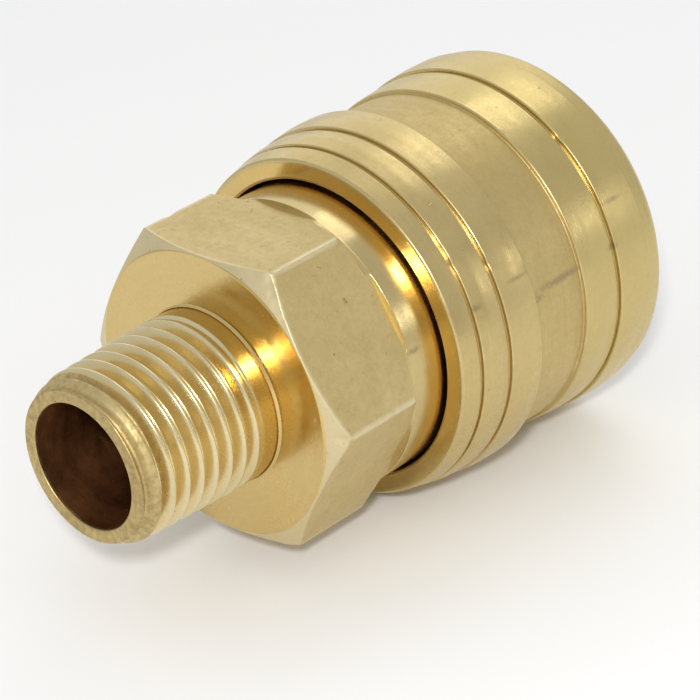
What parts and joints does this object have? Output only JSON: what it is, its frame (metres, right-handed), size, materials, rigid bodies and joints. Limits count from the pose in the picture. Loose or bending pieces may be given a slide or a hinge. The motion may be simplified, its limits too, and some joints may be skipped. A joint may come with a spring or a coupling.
{
  "type": "quick disconnect coupler",
  "caption": "Brass quick disconnect socket with a taper male pipe thread, a hexagon and a sliding sleeve that frees locking balls round the plug.",
  "frame": {"origin": "centre of the male thread's end face", "axes": "+X along the coupler from the thread to the plug's mouth, +Z square to one flat of the hexagon"},
  "size_m": [0.047, 0.0286, 0.0286],
  "materials": {
    "brass_fitting": "satin machined, bright where turned",
    "brass_sleeve": "satin turned",
    "spring_steel": "drawn wire",
    "ball_steel": "polished",
    "nitrile": "matt",
    "ptfe": "matt"
  },
  "bodies": {
    "body": {"adapter": "brass_fitting", "socket_body": "brass_fitting", "retaining_ring": "spring_steel", "body_seal": "nitrile", "plug_seal": "nitrile", "plug_backup_ring": "ptfe", "valve_guide": "brass_fitting", "valve_spring": "spring_steel"},
    "sleeve_turn": {"sleeve_spring": "spring_steel"},
    "sleeve": {"sleeve": "brass_sleeve"},
    "valve": {"valve_poppet": "brass_fitting", "valve_seal": "nitrile"},
    "ball_1": {"locking_ball_1": "ball_steel"},
    "ball_2": {"locking_ball_2": "ball_steel"},
    "ball_3": {"locking_ball_3": "ball_steel"},
    "ball_4": {"locking_ball_4": "ball_steel"},
    "ball_5": {"locking_ball_5": "ball_steel"},
    "ball_6": {"locking_ball_6": "ball_steel"},
    "ball_7": {"locking_ball_7": "ball_steel"},
    "ball_8": {"locking_ball_8": "ball_steel"}
  },
  "joints": [
    {"name": "sleeve_spin", "type": "hinge", "parent": "body", "child": "sleeve_turn", "pos_m": [0.03, 0, 0], "axis": [1, 0, 0], "continuous": true},
    {"name": "sleeve_slide", "type": "slide", "parent": "sleeve_turn", "child": "sleeve", "axis": [-1, 0, 0], "range_m": [0, 0.003], "stiffness_N_per_m": 2000, "springref_m": -0.006, "deforming": ["sleeve_spring"]},
    {"name": "valve_slide", "type": "slide", "parent": "body", "child": "valve", "axis": [-1, 0, 0], "range_m": [0, 0.004], "stiffness_N_per_m": 500, "springref_m": -0.004, "deforming": ["valve_spring"]},
    {"name": "ball_1_slide", "type": "slide", "parent": "body", "child": "ball_1", "axis": [0, 0, 1], "range_m": [0, 0.00095]},
    {"name": "ball_2_slide", "type": "slide", "parent": "body", "child": "ball_2", "axis": [0, -0.7071, 0.7071], "range_m": [0, 0.00095]},
    {"name": "ball_3_slide", "type": "slide", "parent": "body", "child": "ball_3", "axis": [0, -1, 0], "range_m": [0, 0.00095]},
    {"name": "ball_4_slide", "type": "slide", "parent": "body", "child": "ball_4", "axis": [0, -0.7071, -0.7071], "range_m": [0, 0.00095]},
    {"name": "ball_5_slide", "type": "slide", "parent": "body", "child": "ball_5", "axis": [0, 0, -1], "range_m": [0, 0.00095]},
    {"name": "ball_6_slide", "type": "slide", "parent": "body", "child": "ball_6", "axis": [0, 0.7071, -0.7071], "range_m": [0, 0.00095]},
    {"name": "ball_7_slide", "type": "slide", "parent": "body", "child": "ball_7", "axis": [0, 1, 0], "range_m": [0, 0.00095]},
    {"name": "ball_8_slide", "type": "slide", "parent": "body", "child": "ball_8", "axis": [0, 0.7071, 0.7071], "range_m": [0, 0.00095]}
  ],
  "couplings": [
    {"joint": "ball_1_slide", "follows": "sleeve_slide", "ratio": 0.3166},
    {"joint": "ball_2_slide", "follows": "sleeve_slide", "ratio": 0.3166},
    {"joint": "ball_3_slide", "follows": "sleeve_slide", "ratio": 0.3166},
    {"joint": "ball_4_slide", "follows": "sleeve_slide", "ratio": 0.3166},
    {"joint": "ball_5_slide", "follows": "sleeve_slide", "ratio": 0.3166},
    {"joint": "ball_6_slide", "follows": "sleeve_slide", "ratio": 0.3166},
    {"joint": "ball_7_slide", "follows": "sleeve_slide", "ratio": 0.3166},
    {"joint": "ball_8_slide", "follows": "sleeve_slide", "ratio": 0.3166}
  ]
}
